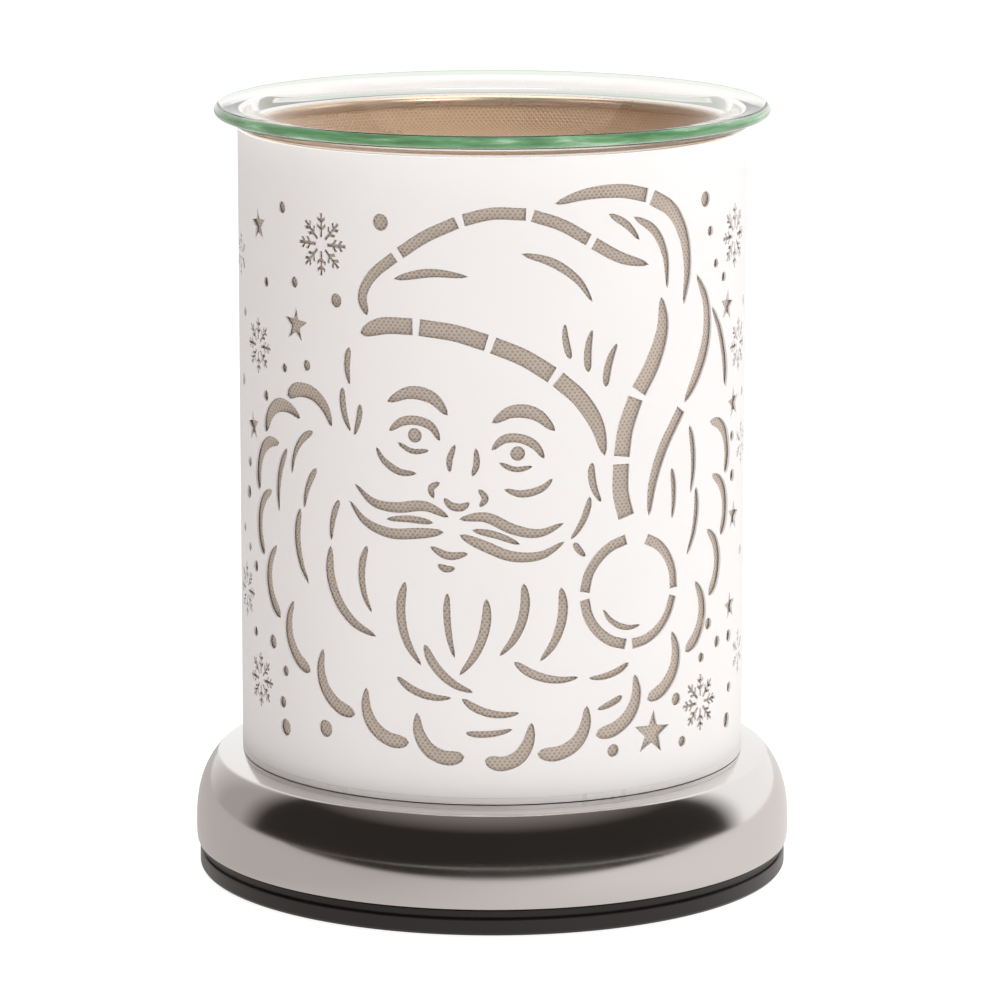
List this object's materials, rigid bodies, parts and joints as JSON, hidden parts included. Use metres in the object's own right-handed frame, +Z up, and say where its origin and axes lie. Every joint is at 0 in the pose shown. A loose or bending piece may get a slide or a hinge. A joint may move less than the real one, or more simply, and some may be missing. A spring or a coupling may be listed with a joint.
{
  "type": "electric wax warmer",
  "caption": "Touch-switched electric wax warmer: pierced white shade over a perforated liner, glass melt dish on top, chrome base with a bayonet reflector lamp inside.",
  "frame": {"origin": "centre of the underside, where the feet stand", "axes": "+Z up through the shade, -Y towards the front, +X to the right seen from the front"},
  "size_m": [0.1304, 0.1304, 0.1684],
  "materials": {
    "white_powder_coat": "satin white powder coat",
    "champagne_steel": "metallic champagne lacquer on perforated steel",
    "chrome_plate": "polished chrome plate",
    "black_plastic": "moulded black plastic, satin",
    "black_rubber": "matt moulded rubber",
    "dish_glass": "clear glass with a green polished edge",
    "zinc_steel": "bright zinc plated steel",
    "contact_brass": "plain brass",
    "holder_ceramic": "unglazed white ceramic",
    "lamp_mirror": "faceted bright reflector",
    "lamp_glass": "clear glass",
    "module_plastic": "grey flame-retardant plastic",
    "board_laminate": "green solder mask on laminate",
    "component_black": "black moulded component body",
    "capacitor_sleeve": "blue shrink sleeve",
    "terminal_plastic": "white nylon",
    "brown_sleeve": "brown wire insulation",
    "blue_sleeve": "blue wire insulation",
    "green_sleeve": "green wire insulation"
  },
  "bodies": {
    "warmer": {"base_plate": "black_plastic", "base_screw_1": "zinc_steel", "base_screw_2": "zinc_steel", "base_strap": "zinc_steel", "cord_gland": "black_rubber", "base_cover": "chrome_plate", "seat_plate": "chrome_plate", "outer_shade": "white_powder_coat", "inner_liner": "champagne_steel", "threaded_stem": "zinc_steel", "lock_washer": "zinc_steel", "upper_nut": "zinc_steel", "lower_nut": "zinc_steel", "sense_tag": "contact_brass", "lamp_bracket": "zinc_steel", "lampholder_body": "holder_ceramic", "holder_contact_1": "contact_brass", "holder_contact_2": "contact_brass", "holder_screw_1": "zinc_steel", "holder_screw_2": "zinc_steel", "module_case": "module_plastic", "module_lid": "module_plastic", "circuit_board": "board_laminate", "triac": "component_black", "capacitor": "capacitor_sleeve", "sensor_chip": "component_black", "terminal_block": "terminal_plastic", "terminal_screw_1": "contact_brass", "terminal_screw_2": "contact_brass", "terminal_screw_3": "contact_brass", "lamp_wire_live": "brown_sleeve", "lamp_wire_neutral": "blue_sleeve", "module_feed_wire": "brown_sleeve", "touch_sense_wire": "green_sleeve", "foot_pad_1": "black_rubber", "foot_pad_2": "black_rubber", "foot_pad_3": "black_rubber", "foot_pad_4": "black_rubber"},
    "lamp": {"lamp_base": "holder_ceramic", "lamp_reflector": "lamp_mirror", "lamp_window": "lamp_glass", "lamp_capsule": "lamp_glass", "lamp_pin_1": "zinc_steel", "lamp_pin_2": "zinc_steel"},
    "dish": {"glass_dish": "dish_glass"}
  },
  "joints": [
    {"name": "dish_lift", "type": "slide", "parent": "warmer", "child": "dish", "axis": [0, 0, 1], "range_m": [0, 0.06]},
    {"name": "lamp_twist", "type": "hinge", "parent": "warmer", "child": "lamp", "pos_m": [0, 0, 0.055], "axis": [0, 0, 1], "range_deg": [0, 30]}
  ]
}
